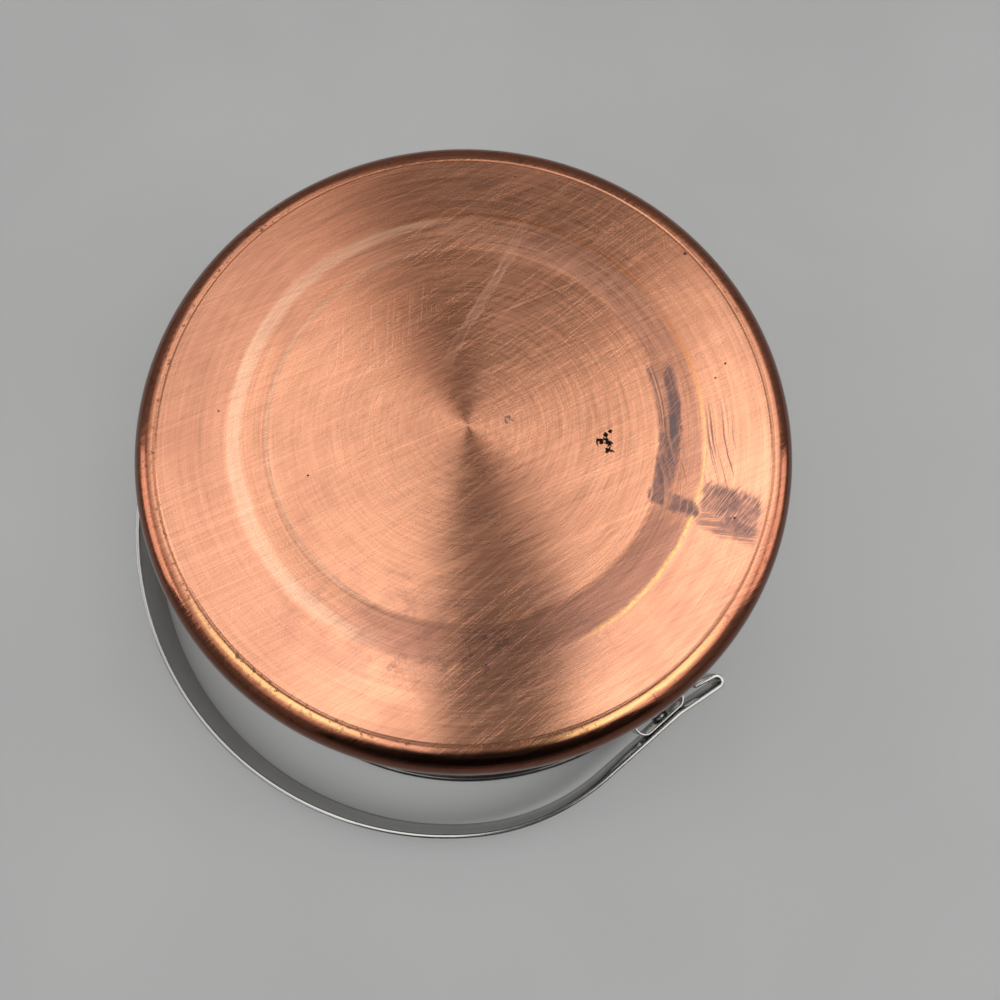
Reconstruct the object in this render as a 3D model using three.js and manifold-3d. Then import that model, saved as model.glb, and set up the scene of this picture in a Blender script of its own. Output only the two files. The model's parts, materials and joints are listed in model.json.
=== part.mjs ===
// A low steel pot with a copper-clad base and a swing handle of flat strap.
// It stands turned over, rim down on the table and base up, with the handle folded down beside it.
// Millimetres, +Z up. The pot's axis is vertical and the handle swings about an axis along X.

import * as THREE from 'three';
import { mergeVertices } from 'three/addons/utils/BufferGeometryUtils.js';
import Module from 'manifold-3d';

// Pot body
const potHeight = 98;
const copperRadius = 105;
const copperThickness = 0.8;
const copperWallHeight = 18;
const steelThickness = 0.9;
const seatGap = 0.3;
const cornerRadius = 7;

// Relief pressed into the base, as radii and as depths below the face that meets the hob
const ringRadius = 74.8;
const ringRiserWidth = 0.8;
const ringRiserDepth = 0.35;
const coneDepth = 1.0;
const discRadius = 62.7;
const discRiserWidth = 1.0;
const discDepth = 1.3;
const dishDepth = 1.9;
const grooveRadius = 96.6;
const grooveWidth = 1.2;
const grooveDepth = 0.35;

// Flared rim with a rolled edge
const flareRadius = 8;
const rollRadius = 1.1;
const rimRadius = 116.3;

// Saddle brackets on the wall
const earThickness = 0.8;
const earWidth = 15;
const earLength = 23;
const earReach = 15.2;
const earBendRadius = 3.6;
const earFootBendRadius = 2;
const earFootHalfLength = 21;
const earFootCornerRadius = 4;

// Swing handle
const strapWidth = 19;
const strapThickness = 1.5;
const strapChamfer = 0.3;
const pivotHeight = 17.5;
const bowReach = 136.4;
const shoulderRadius = 88;
const crownTurn = THREE.MathUtils.degToRad(56);
const tailStraight = 5;
const tailLean = THREE.MathUtils.degToRad(7);
const tailBendRadius = 14;
const tailLength = 17.8;
const foldRadius = 2.1;
const foldTurn = THREE.MathUtils.degToRad(174);
const foldReturn = 8.5;
const tableGap = 0.1;

// Rivets
const shankRadius = 2;
const outerHeadRadius = 4.6;
const outerHeadHeight = 1.2;
const innerHeadRadius = 3.4;
const innerHeadHeight = 1.5;

// Fineness of the faceted surfaces
const potSegments = 60;
const rivetSegments = 20;
const chordError = 0.08;
const curveSteps = 4;
const mergeTolerance = 1e-4;

// Sizes that follow from the ones above
const wallRadius = copperRadius - copperThickness - seatGap;
const rollCentre = rimRadius - rollRadius;
const flareHeight = flareRadius + steelThickness;
const earFace = wallRadius + earReach;
const strapMiddle = earFace + seatGap + strapThickness / 2;
const holeRadius = shankRadius + seatGap;
const drillLength = 3 * rimRadius;
const crownRadius = shoulderRadius + (strapMiddle - shoulderRadius) / Math.sin(crownTurn);
const legLength = bowReach - crownRadius + (crownRadius - shoulderRadius) * Math.cos(crownTurn);
const bailReach = bowReach + strapThickness / 2;
const bailTilt = Math.asin((pivotHeight - tableGap) / Math.hypot(bailReach, strapWidth / 2))
  - Math.atan2(strapWidth / 2, bailReach);
const bailExtent = bailReach * Math.cos(bailTilt) + (strapWidth / 2) * Math.sin(bailTilt);
const axisShift = (bailExtent - rimRadius) / 2;

const wasm = await Module();
wasm.setup();

// Closed bodies for cutting and joining

function toSolid(geometry) {
  const bare = geometry.clone();
  bare.deleteAttribute('normal');
  bare.deleteAttribute('uv');
  const merged = mergeVertices(bare, mergeTolerance);
  const vertProperties = new Float32Array(merged.attributes.position.array);
  const triVerts = new Uint32Array(merged.index.array);
  return new wasm.Manifold(new wasm.Mesh({ numProp: 3, vertProperties, triVerts }));
}

function toGeometry(solid) {
  const mesh = solid.getMesh();
  const geometry = new THREE.BufferGeometry();
  geometry.setAttribute('position', new THREE.BufferAttribute(new Float32Array(mesh.vertProperties), 3));
  geometry.setIndex(new THREE.BufferAttribute(new Uint32Array(mesh.triVerts), 1));
  return geometry;
}

// Outlines

// How many chords an arc needs to stay within chordError of its true round.
function arcSteps(arc) {
  const chordAngle = 2 * Math.acos(1 - chordError / arc.xRadius);
  return Math.ceil(Math.abs(arc.aEndAngle - arc.aStartAngle) / chordAngle);
}

// The points of a path: corners as they are, arcs and curves in short chords.
function samplePath(path) {
  const points = [];
  for (const curve of path.curves) {
    let steps = 1;
    if (curve.isEllipseCurve) steps = arcSteps(curve);
    if (curve.isQuadraticBezierCurve) steps = curveSteps;
    points.push(...curve.getPoints(steps));
  }
  return points.filter((point, i) => i === 0 || point.distanceTo(points[i - 1]) > mergeTolerance);
}

// A bent strip's middle line, written as its straight runs and its bends, left turns positive.
function bentLine(x, y, heading, steps) {
  const path = new THREE.Path();
  path.moveTo(x, y);
  let direction = heading;
  for (const { run, bend, radius } of steps) {
    const from = path.currentPoint;
    if (run) {
      path.lineTo(from.x + run * Math.cos(direction), from.y + run * Math.sin(direction));
    } else {
      const toCentre = direction + Math.sign(bend) * Math.PI / 2;
      const start = toCentre + Math.PI;
      const centreX = from.x + radius * Math.cos(toCentre);
      const centreY = from.y + radius * Math.sin(toCentre);
      path.absarc(centreX, centreY, radius, start, start + bend, bend < 0);
      direction += bend;
    }
  }
  return samplePath(path);
}

// The same line joined, where it starts, to its own mirror image: signs says which coordinate flips.
function mirrored(line, signs) {
  const other = line.slice(1).map((point) => point.clone().multiply(signs));
  return [...other.reverse(), ...line];
}

// The outline of a strip of even thickness along its middle line.
function stripShape(line, thickness) {
  const left = [];
  const right = [];
  line.forEach((point, i) => {
    const before = line[Math.max(i - 1, 0)];
    const after = line[Math.min(i + 1, line.length - 1)];
    const along = after.clone().sub(before).normalize();
    const across = new THREE.Vector2(-along.y, along.x).multiplyScalar(thickness / 2);
    left.push(point.clone().add(across));
    right.push(point.clone().sub(across));
  });
  return new THREE.Shape([...right, ...left.reverse()]);
}

// A strip standing on edge, its width centred on z = 0.
function standStrip(line, thickness, width, chamfer) {
  const geometry = new THREE.ExtrudeGeometry(stripShape(line, thickness), {
    depth: width - 2 * chamfer,
    bevelEnabled: chamfer > 0,
    bevelSegments: 1,
    bevelSize: chamfer,
    bevelThickness: chamfer,
    bevelOffset: -chamfer,
  });
  geometry.translate(0, 0, chamfer - width / 2);
  return geometry;
}

// A profile of radius and height turned about the vertical axis.
function turned(points) {
  const geometry = new THREE.LatheGeometry(points, potSegments);
  geometry.rotateX(Math.PI / 2);
  return geometry;
}

// Pot body and copper skin

// The base from its centre out to the end of the rounded corner, at a depth below the copper's face.
function baseFace(depth, grooved) {
  const face = potHeight - depth;
  const cornerCentre = copperRadius - cornerRadius;
  const path = new THREE.Path();
  path.moveTo(0, face - dishDepth);
  path.quadraticCurveTo(discRadius / 2, face - dishDepth, discRadius, face - discDepth);
  path.lineTo(discRadius + discRiserWidth, face - coneDepth);
  path.lineTo(ringRadius - ringRiserWidth, face - ringRiserDepth);
  path.lineTo(ringRadius, face);
  if (grooved) {
    path.lineTo(grooveRadius - grooveWidth / 2, face);
    path.lineTo(grooveRadius, face - grooveDepth);
    path.lineTo(grooveRadius + grooveWidth / 2, face);
  }
  path.lineTo(cornerCentre, face);
  path.absarc(cornerCentre, potHeight - cornerRadius, cornerRadius - depth, Math.PI / 2, 0, true);
  return samplePath(path);
}

function copperBase() {
  const edge = potHeight - copperWallHeight;
  const outer = baseFace(0, true);
  const inner = baseFace(copperThickness, false).reverse();
  const lip = [
    new THREE.Vector2(copperRadius, edge + copperThickness / 2),
    new THREE.Vector2(copperRadius - copperThickness / 2, edge),
    new THREE.Vector2(copperRadius - copperThickness, edge),
  ];
  return turned([...outer, ...lip, ...inner].reverse());
}

function potShell() {
  const skin = copperThickness + seatGap;
  const flareCentre = wallRadius + flareRadius;
  const lipMeet = Math.asin((steelThickness - rollRadius) / rollRadius);
  const rim = new THREE.Path();
  rim.absarc(flareCentre, flareHeight, flareRadius, Math.PI, Math.PI * 1.5, false);
  rim.lineTo(rollCentre - rollRadius * Math.cos(lipMeet), steelThickness);
  rim.absarc(rollCentre, rollRadius, rollRadius, Math.PI - lipMeet, -Math.PI / 2, true);
  rim.lineTo(flareCentre, 0);
  rim.absarc(flareCentre, flareHeight, flareRadius + steelThickness, Math.PI * 1.5, Math.PI, true);
  const outer = baseFace(skin, false);
  const inner = baseFace(skin + steelThickness, false).reverse();
  return turned([...outer, ...samplePath(rim), ...inner].reverse());
}

// Bail, brackets and rivets, each drawn about the pivot axis

// A round bar along X, longer than the handle is wide, to drill a strip at the pivots.
function drill(radius) {
  const bar = new THREE.CylinderGeometry(radius, radius, drillLength, rivetSegments);
  bar.rotateZ(Math.PI / 2);
  return toSolid(bar);
}

// The right-hand bracket: feet curved to the wall, two legs and the flat that the handle lies against.
function bailEar() {
  const footMiddle = wallRadius + seatGap + earThickness / 2;
  const flatMiddle = earFace - earThickness / 2;
  const legSide = earLength / 2 - earThickness / 2;
  const rise = Math.asin((legSide + earFootBendRadius) / (footMiddle + earFootBendRadius));
  const footArc = Math.asin(earFootHalfLength / footMiddle) - rise;
  const legStart = (footMiddle + earFootBendRadius) * Math.cos(rise);
  const half = bentLine(flatMiddle, 0, Math.PI / 2, [
    { run: legSide - earBendRadius },
    { bend: Math.PI / 2, radius: earBendRadius },
    { run: flatMiddle - earBendRadius - legStart },
    { bend: rise - Math.PI / 2, radius: earFootBendRadius },
    { bend: footArc, radius: footMiddle },
  ]);
  const line = mirrored(half, new THREE.Vector2(1, -1));
  const strip = standStrip(line, earThickness, earWidth, 0);

  const footLine = new THREE.Shape();
  const spanX = earWidth / 2 - earFootCornerRadius;
  const spanY = earFootHalfLength - earFootCornerRadius;
  footLine.absarc(spanX, spanY, earFootCornerRadius, 0, Math.PI / 2, false);
  footLine.absarc(-spanX, spanY, earFootCornerRadius, Math.PI / 2, Math.PI, false);
  footLine.absarc(-spanX, -spanY, earFootCornerRadius, Math.PI, Math.PI * 1.5, false);
  footLine.absarc(spanX, -spanY, earFootCornerRadius, Math.PI * 1.5, Math.PI * 2, false);
  const rounded = new THREE.ExtrudeGeometry(footLine, { depth: drillLength, bevelEnabled: false });
  rounded.rotateY(Math.PI / 2);
  return toGeometry(toSolid(strip).intersect(toSolid(rounded)).subtract(drill(holeRadius)));
}

// The strap: a wide crown, tighter shoulders, straight legs past the pivots, and tails folded back.
function bail() {
  const half = bentLine(0, -bowReach, 0, [
    { bend: crownTurn, radius: crownRadius },
    { bend: Math.PI / 2 - crownTurn, radius: shoulderRadius },
    { run: legLength + tailStraight },
    { bend: -tailLean, radius: tailBendRadius },
    { run: tailLength },
    { bend: foldTurn, radius: foldRadius },
    { run: foldReturn },
  ]);
  const line = mirrored(half, new THREE.Vector2(-1, 1));
  const strip = standStrip(line, strapThickness, strapWidth, strapChamfer);
  return toGeometry(toSolid(strip).subtract(drill(holeRadius)));
}

// A low domed head outside the strap, a shank through both strips, and a formed head inside the bracket.
function bailRivet() {
  const innerSeat = earFace - earThickness - seatGap;
  const outerSeat = strapMiddle + strapThickness / 2 + seatGap;
  const profile = new THREE.Path();
  profile.moveTo(0, innerSeat - innerHeadHeight);
  profile.quadraticCurveTo(innerHeadRadius, innerSeat - innerHeadHeight, innerHeadRadius, innerSeat);
  profile.lineTo(shankRadius, innerSeat);
  profile.lineTo(shankRadius, outerSeat);
  profile.lineTo(outerHeadRadius, outerSeat);
  profile.quadraticCurveTo(outerHeadRadius, outerSeat + outerHeadHeight, 0, outerSeat + outerHeadHeight);
  const geometry = new THREE.LatheGeometry(samplePath(profile), rivetSegments);
  geometry.rotateZ(-Math.PI / 2);
  return geometry;
}

// Assembly

const polishedSteel = { color: 0xb9b7b2, roughness: 0.22, metalness: 1 };
const brushedSteel = { color: 0xa9a8a4, roughness: 0.34, metalness: 1 };
const wornCopper = { color: 0xc98a68, roughness: 0.36, metalness: 1 };

function part(name, geometry, finish) {
  const mesh = new THREE.Mesh(geometry, new THREE.MeshStandardMaterial(finish));
  mesh.name = name;
  return mesh;
}

const vessel = new THREE.Group();
vessel.add(part('pot_shell', potShell(), brushedSteel));
vessel.add(part('copper_base', copperBase(), wornCopper));

const sides = { right: 0, left: Math.PI };
for (const [side, turn] of Object.entries(sides)) {
  const fixings = new THREE.Group();
  fixings.position.z = pivotHeight;
  fixings.rotation.z = turn;
  fixings.add(part(`bail_ear_${side}`, bailEar(), brushedSteel));
  fixings.add(part(`bail_rivet_${side}`, bailRivet(), polishedSteel));
  vessel.add(fixings);
}

const swing = part('bail', bail(), polishedSteel);
swing.position.z = pivotHeight;
swing.rotation.x = bailTilt;
vessel.add(swing);

// The whole outline, folded handle included, is centred over the origin.
vessel.position.y = axisShift;

const pot = new THREE.Group();
pot.add(vessel);

export default pot;
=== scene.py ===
"""A low pot with a copper-clad base and a swing handle, stored turned over on a pale table."""

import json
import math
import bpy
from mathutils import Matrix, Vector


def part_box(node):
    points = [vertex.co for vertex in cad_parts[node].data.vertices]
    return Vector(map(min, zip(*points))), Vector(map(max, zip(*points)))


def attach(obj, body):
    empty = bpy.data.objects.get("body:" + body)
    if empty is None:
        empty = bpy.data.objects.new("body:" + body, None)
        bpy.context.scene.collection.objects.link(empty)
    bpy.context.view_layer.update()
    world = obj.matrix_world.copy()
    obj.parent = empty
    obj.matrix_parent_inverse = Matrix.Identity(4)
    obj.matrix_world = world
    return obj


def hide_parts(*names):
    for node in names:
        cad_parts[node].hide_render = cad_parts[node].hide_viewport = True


bl_info = {
    "name": "Copper-based pot",
    "version": (1, 0, 0),
    "blender": (4, 5, 0),
    "location": "View3D > Sidebar > Pot",
    "description": "Models a steel pot with a copper base and a strap handle, and lights it on a pale floor",
    "category": "Add Mesh",
}

from collections import namedtuple

import bmesh
import bpy
from mathutils import Matrix, Quaternion, Vector

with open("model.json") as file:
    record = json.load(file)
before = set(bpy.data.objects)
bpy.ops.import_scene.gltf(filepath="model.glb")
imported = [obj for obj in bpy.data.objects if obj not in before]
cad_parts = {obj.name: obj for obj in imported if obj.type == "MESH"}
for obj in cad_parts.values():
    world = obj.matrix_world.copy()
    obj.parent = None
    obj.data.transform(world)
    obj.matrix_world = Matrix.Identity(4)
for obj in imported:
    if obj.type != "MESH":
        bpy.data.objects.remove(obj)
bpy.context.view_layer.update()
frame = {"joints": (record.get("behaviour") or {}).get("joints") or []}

MM = 0.001
COPPER_LOW, COPPER_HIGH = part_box("copper_base")
SHELL_LOW, SHELL_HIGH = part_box("pot_shell")
EAR_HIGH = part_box("bail_ear_right")[1]
AXIS = Vector(((COPPER_LOW.x + COPPER_HIGH.x) / 2, (COPPER_LOW.y + COPPER_HIGH.y) / 2, 0.0))
PIVOT = Vector(frame["joints"][0]["pos_m"])
SIDES = {"right": 0.0, "left": math.pi}
UP = Vector((0.0, 0.0, 1.0))

ROUND_STEPS = 256
RIVET_STEPS = 64
FILLET_STEP = math.radians(9)
EDGE_STEPS = 3
FOOT_CORNER_STEPS = 8
DISH_STEPS = 10
DOME_STEPS = 10
MERGE_DISTANCE = 1e-6
SMOOTH_ANGLE = math.radians(35)


# Sizes, finishes and stage that a user would change


def length(name, description, default):
    return bpy.props.FloatProperty(
        name=name, description=description, default=default, min=0.0, precision=5, subtype="DISTANCE"
    )


def angle(name, description, degrees):
    return bpy.props.FloatProperty(
        name=name, description=description, default=math.radians(degrees), subtype="ANGLE"
    )


def colour(name, description, default):
    return bpy.props.FloatVectorProperty(
        name=name, description=description, default=default, size=3, min=0.0, max=1.0, subtype="COLOR"
    )


def level(name, description, default):
    return bpy.props.FloatProperty(
        name=name, description=description, default=default, min=0.0, subtype="FACTOR"
    )


class PotSizes(bpy.types.PropertyGroup):
    """Sizes of the steel body and its copper skin."""

    height: length("Height", "From the rim to the face of the base", COPPER_HIGH.z)
    base_radius: length("Base radius", "Outside of the copper wall", (COPPER_HIGH.x - COPPER_LOW.x) / 2)
    rim_radius: length("Rim radius", "Outside of the rolled edge", (SHELL_HIGH.x - SHELL_LOW.x) / 2)
    copper_edge: length("Copper edge", "Height where the copper wall ends", COPPER_LOW.z)
    copper: length("Copper", "Thickness of the copper skin", 0.8 * MM)
    steel: length("Steel", "Thickness of the steel wall", 0.9 * MM)
    seat_gap: length("Seat gap", "Space between pieces that touch", 0.3 * MM)
    corner: length("Corner", "Radius where the base turns into the wall", 7 * MM)
    ring: length("Ring", "Radius of the step at the inside of the standing ring", 74.8 * MM)
    ring_slope: length("Ring slope", "Width of that step", 4.2 * MM)
    ring_drop: length("Ring drop", "Depth of that step", 0.25 * MM)
    disc: length("Disc", "Radius of the sunk disc", 62.7 * MM)
    disc_step: length("Disc step", "Depth at the top of the disc's step", 0.68 * MM)
    disc_drop: length("Disc drop", "Depth at the edge of the disc", 0.9 * MM)
    dish: length("Dish", "Depth at the middle of the disc", 1.5 * MM)
    groove: length("Groove", "Radius of the groove beside the corner", 96.6 * MM)
    groove_width: length("Groove width", "Width of the groove", 1.2 * MM)
    groove_depth: length("Groove depth", "Depth of the groove", 0.2 * MM)
    flare: length("Flare", "Outside radius of the bend into the lip", 8 * MM)
    roll: length("Roll", "Radius of the rolled edge", 1.1 * MM)

    @property
    def wall(self):
        return self.base_radius - self.copper - self.seat_gap


class HandleSizes(bpy.types.PropertyGroup):
    """Sizes of the strap handle, the ears that carry it and their rivets."""

    width: length("Strap width", "Width of the strap", 19 * MM)
    thickness: length("Strap thickness", "Thickness of the strap", 1.5 * MM)
    edge: length("Strap edge", "Rounding of the strap's edges", 0.35 * MM)
    reach: length("Reach", "From the pivot to the middle of the bow", 136.4 * MM)
    shoulder: length("Shoulder", "Radius of the bow's shoulders", 88 * MM)
    crown_turn: angle("Crown turn", "How far each half of the crown turns", 56)
    tail_straight: length("Tail straight", "Straight length past the pivot", 5 * MM)
    tail_lean: angle("Tail lean", "How far the tail leans outwards", 7)
    tail_bend: length("Tail bend", "Radius of that lean", 14 * MM)
    tail: length("Tail", "Length of the leaning tail", 17.8 * MM)
    fold: length("Fold", "Radius of the folded end", 2.1 * MM)
    fold_turn: angle("Fold turn", "How far the end is folded back", 174)
    fold_return: length("Fold return", "Length that is folded back", 8.5 * MM)
    table_gap: length("Table gap", "Space left under the folded handle", 0.1 * MM)
    ear_thickness: length("Ear thickness", "Thickness of the ears", 0.8 * MM)
    ear_width: length("Ear width", "Width of the ears", 15 * MM)
    ear_length: length("Ear length", "Length of an ear along the wall", 23 * MM)
    ear_face: length("Ear face", "From the pot's axis to the outside of an ear", EAR_HIGH.x)
    ear_bend: length("Ear bend", "Radius of the ear's outer bends", 3.6 * MM)
    ear_foot_bend: length("Ear foot bend", "Radius of the bends into the feet", 2 * MM)
    ear_foot: length("Ear foot", "Half the length over both feet", 21 * MM)
    ear_foot_corner: length("Ear foot corner", "Rounding of the feet's corners", 4 * MM)
    ear_edge: length("Ear edge", "Rounding of the ear's edges", 0.18 * MM)
    shank: length("Shank", "Radius of a rivet's shank", 2 * MM)
    outer_head: length("Outer head", "Radius of a rivet's outer head", 4.6 * MM)
    outer_rise: length("Outer rise", "Height of the outer head", 1.2 * MM)
    inner_head: length("Inner head", "Radius of the head formed inside the ear", 3.4 * MM)
    inner_rise: length("Inner rise", "Height of the inner head", 1.5 * MM)


class PotFinish(bpy.types.PropertyGroup):
    """Colours of the metals and the stage."""

    copper: colour("Copper", "Bright copper", (0.85, 0.4, 0.24))
    copper_rose: colour("Rose copper", "Copper under a thin tarnish", (0.62, 0.265, 0.17))
    copper_dull: colour("Dull copper", "Copper under a purple-brown film", (0.43, 0.2, 0.15))
    # The corner colour is partly red-brown patina and partly painted dark reflection
    corner_patina_and_dark_reflection: colour("Corner", "Red-brown copper of the rounded corner", (0.4, 0.135, 0.075))
    # Painted highlight: this gold stands in for highlights on the step and beside the corner
    gold_highlight: colour("Gold copper", "Copper tinted by heat", (1.0, 0.6, 0.22))
    copper_amber: colour("Amber copper", "Orange-brown line at the step", (0.72, 0.24, 0.075))
    copper_rust: colour("Red copper", "Red oxide beside the grooves", (0.36, 0.115, 0.05))
    # Painted highlight: this tint paints the bright steps on the far side
    step_highlight_tint: colour("Glint", "Polished copper on the step", (1.0, 0.66, 0.46))
    copper_scuff: colour("Scuff", "Freshly rubbed copper", (0.92, 0.56, 0.42))
    copper_stain: colour("Stain", "Purple-grey tarnish", (0.17, 0.105, 0.105))
    copper_slate: colour("Slate", "Grey-blue tarnish", (0.12, 0.115, 0.125))
    # This colour serves the burnt fleck and also a painted dark reflection band on the corner
    soot_and_dark_reflection: colour("Soot", "Burnt-on residue", (0.02, 0.014, 0.01))
    # This colour serves dirt in the groove and also painted dark reflection on the outside of the corner
    dirt_and_dark_reflection: colour("Dirt", "Dark residue in the grooves", (0.11, 0.035, 0.02))
    steel: colour("Steel", "Spun steel of the body", (0.6, 0.59, 0.57))
    # Painted shade: this tint is kept dark for the dark room that the polished steel reflects; ears and
    # rivets share it
    strap: colour("Strap", "Polished steel of the handle", (0.38, 0.376, 0.368))
    grime: colour("Grime", "Thin dull film on the steel", (0.3, 0.275, 0.24))
    # This dark colour is a painted dark reflection and shade along the rolled edge
    rim_dark_reflection: colour("Rim soil", "Dark soil along the rolled edge", (0.07, 0.066, 0.06))
    card: colour("Card", "Black card", (0.01, 0.01, 0.01))
    glow: colour("Glow", "Light that a card sends out", (1.0, 1.0, 1.0))
    floor: colour("Floor", "Pale table", (0.465, 0.471, 0.467))
    wall: colour("Wall", "Pale wall behind the table", (0.8, 0.805, 0.8))


class PotStudio(bpy.types.PropertyGroup):
    """Camera, lamps, cards, room and floor."""

    camera: bpy.props.FloatVectorProperty(
        name="Camera", description="Place of the camera", size=3, subtype="TRANSLATION",
        default=(65.8 * MM, -38.9 * MM, 320.7 * MM),
    )
    target: bpy.props.FloatVectorProperty(
        name="Target", description="Point in the middle of the picture", size=3, subtype="TRANSLATION",
        default=(25.55 * MM, 2.7 * MM, 98 * MM),
    )
    roll: angle("Roll", "Turn of the camera about its line of sight", 6.7)
    lens: bpy.props.FloatProperty(
        name="Lens", description="Focal length in millimetres", min=1.0, subtype="DISTANCE_CAMERA",
        default=27.04,
    )
    floor_size: length("Floor size", "Width of the floor", 16.0)
    floor_drop: length("Floor drop", "Space under the rim, so that faces don't coincide", 0.1 * MM)
    softbox_left: level("Left softbox", "Brightness of the softbox on the picture's left", 2.0)
    softbox_right: level("Right softbox", "Brightness of the softbox on the picture's right", 2.0)
    softbox_size: length("Softbox size", "Width of each softbox", 0.45)
    softbox_aside: length("Softbox aside", "How far each softbox stands from the pot's axis", 0.9)
    softbox_rise: length("Softbox rise", "How far each softbox stands above the point it faces", 0.5)
    softbox_aim: length("Softbox aim", "Height of the point that the softboxes face", 0.05)
    wall_glow: level("Wall glow", "Brightness that the wall has of its own", 0.22)
    sky: level("Sky", "Brightness of the room near the horizon", 0.2)
    window: level("Window", "Brightness of the windows overhead", 2.05)
    left_fade: level("Left fade", "Share of that brightness left at the far left", 0.55)
    overhead: level("Overhead", "Brightness of the dim strip between the windows", 0.02)
    strip_shift: level("Strip shift", "How far the dim strip lies to the right", 0.04)
    strip_width: level("Strip width", "Half the width of the dim strip straight above", 0.03)
    strip_flare: level("Strip flare", "How fast the dim strip widens ahead", 0.33)
    strip_tint: colour("Strip tint", "Colour of the dim strip", (1.0, 0.6, 0.42))
    card_distance: length("Card distance", "From the pot's axis to the dark card", 0.5)
    card_width: length("Card width", "Width of the dark card", 0.8)
    card_height: length("Card height", "Height of the dark card", 1.0)
    card_lift: length("Card lift", "From the floor to the dark card", 0.2)
    card_shift: length("Card shift", "How far the dark card stands to the right", 0.08)
    roof_shift: length("Roof shift", "How far the card above the pot lies to the right", 17 * MM)
    roof_width: length("Roof width", "Width of the dark card above the pot", 0.09)
    roof_length: length("Roof length", "Length of the dark card above the pot", 0.34)
    roof_glow: level("Roof glow", "Brightness of the card above the pot", 0.14)
    roof_rise: length("Roof rise", "How far that card lies above the camera", 10 * MM)
    roof_ahead: length("Roof ahead", "How far the card above the pot lies in front of the camera", 47 * MM)


# Modelling by hand


def draw_line(name, points):
    """A new mesh in edit mode that holds one line through the points, with its last point selected."""
    bpy.ops.object.select_all(action="DESELECT")
    bpy.ops.mesh.primitive_plane_add(size=MM, enter_editmode=True)
    piece = bpy.context.object
    piece.name = name
    piece.data.name = name
    bpy.ops.mesh.merge(type="CENTER")
    bpy.ops.transform.translate(value=points[0])
    for here, there in zip(points, points[1:]):
        bpy.ops.mesh.extrude_region_move(TRANSFORM_OT_translate={"value": there - here})
    return piece


class Pen:
    """Draws the middle line of a bent strip in the XY plane, left turns positive."""

    def __init__(self, name, place, heading):
        self.piece = draw_line(name, [Vector(place)])
        self.place = Vector(place)
        self.heading = heading

    def run(self, distance):
        step = Vector((math.cos(self.heading), math.sin(self.heading), 0.0)) * distance
        bpy.ops.mesh.extrude_region_move(TRANSFORM_OT_translate={"value": step})
        self.place += step

    def bend(self, turn, radius, steps):
        to_centre = Vector((-math.sin(self.heading), math.cos(self.heading), 0.0))
        centre = self.place + to_centre * math.copysign(radius, turn)
        bpy.ops.mesh.spin(steps=steps, angle=-turn, center=centre, axis=(0, 0, 1))
        self.place = centre + Quaternion((0, 0, 1), turn) @ (self.place - centre)
        self.heading += turn


def rounded(corners):
    """Points through corners of (across, along, rounding), each rounded corner turned into an arc."""
    points = []
    for i, (across, along, rounding) in enumerate(corners):
        corner = Vector((across, along))
        if not rounding:
            points.append(corner)
            continue
        back = (Vector(corners[i - 1][:2]) - corner).normalized()
        ahead = (Vector(corners[i + 1][:2]) - corner).normalized()
        half = back.angle(ahead) / 2
        centre = corner + (back + ahead).normalized() * rounding / math.sin(half)
        start = corner + back * rounding / math.tan(half) - centre
        end = corner + ahead * rounding / math.tan(half) - centre
        steps = max(2, math.ceil((math.pi - 2 * half) / FILLET_STEP))
        points += [centre + start.slerp(end, k / steps).normalized() * rounding for k in range(steps + 1)]
    return points


def arc(across, along, radius, start, end):
    """Points round a centre, from one angle to another."""
    steps = max(2, math.ceil(abs(end - start) / FILLET_STEP))
    turns = [start + (end - start) * k / steps for k in range(steps + 1)]
    return [Vector((across + radius * math.cos(t), along + radius * math.sin(t))) for t in turns]


def spin_round(centre, axis, steps):
    """Spins the drawn line a full turn, closes the seam and the poles, and points the faces outwards."""
    bpy.ops.mesh.select_all(action="SELECT")
    bpy.ops.mesh.spin(steps=steps, angle=2 * math.pi, center=centre, axis=axis)
    bpy.ops.mesh.select_all(action="SELECT")
    bpy.ops.mesh.remove_doubles(threshold=MERGE_DISTANCE)
    bpy.ops.mesh.normals_make_consistent(inside=False)
    bpy.ops.object.mode_set(mode="OBJECT")


def apply_modifiers(piece):
    bpy.context.view_layer.objects.active = piece
    for modifier in list(piece.modifiers):
        bpy.ops.object.modifier_apply(modifier=modifier.name)


def raise_strip(width):
    """Draws the line up into a ribbon, its width centred on z = 0."""
    bpy.ops.mesh.select_all(action="SELECT")
    bpy.ops.transform.translate(value=(0, 0, -width / 2))
    bpy.ops.mesh.extrude_region_move(TRANSFORM_OT_translate={"value": (0, 0, width)})


def finish_strip(piece, mirror_axis, thickness, edge):
    """Mirrors half a ribbon, gives it its thickness and rounds its edges."""
    bpy.ops.object.mode_set(mode="OBJECT")
    mirror = piece.modifiers.new("Other half", "MIRROR")
    mirror.use_axis = [axis == mirror_axis for axis in "XYZ"]
    mirror.merge_threshold = MERGE_DISTANCE
    wall = piece.modifiers.new("Thickness", "SOLIDIFY")
    wall.thickness = thickness
    wall.offset = 0
    wall.use_even_offset = True
    bevel = piece.modifiers.new("Edges", "BEVEL")
    bevel.width = edge
    bevel.segments = EDGE_STEPS
    bevel.limit_method = "ANGLE"
    bevel.angle_limit = SMOOTH_ANGLE
    apply_modifiers(piece)
    bpy.ops.object.mode_set(mode="EDIT")
    bpy.ops.mesh.select_all(action="SELECT")
    bpy.ops.mesh.normals_make_consistent(inside=False)
    bpy.ops.object.mode_set(mode="OBJECT")


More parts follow.
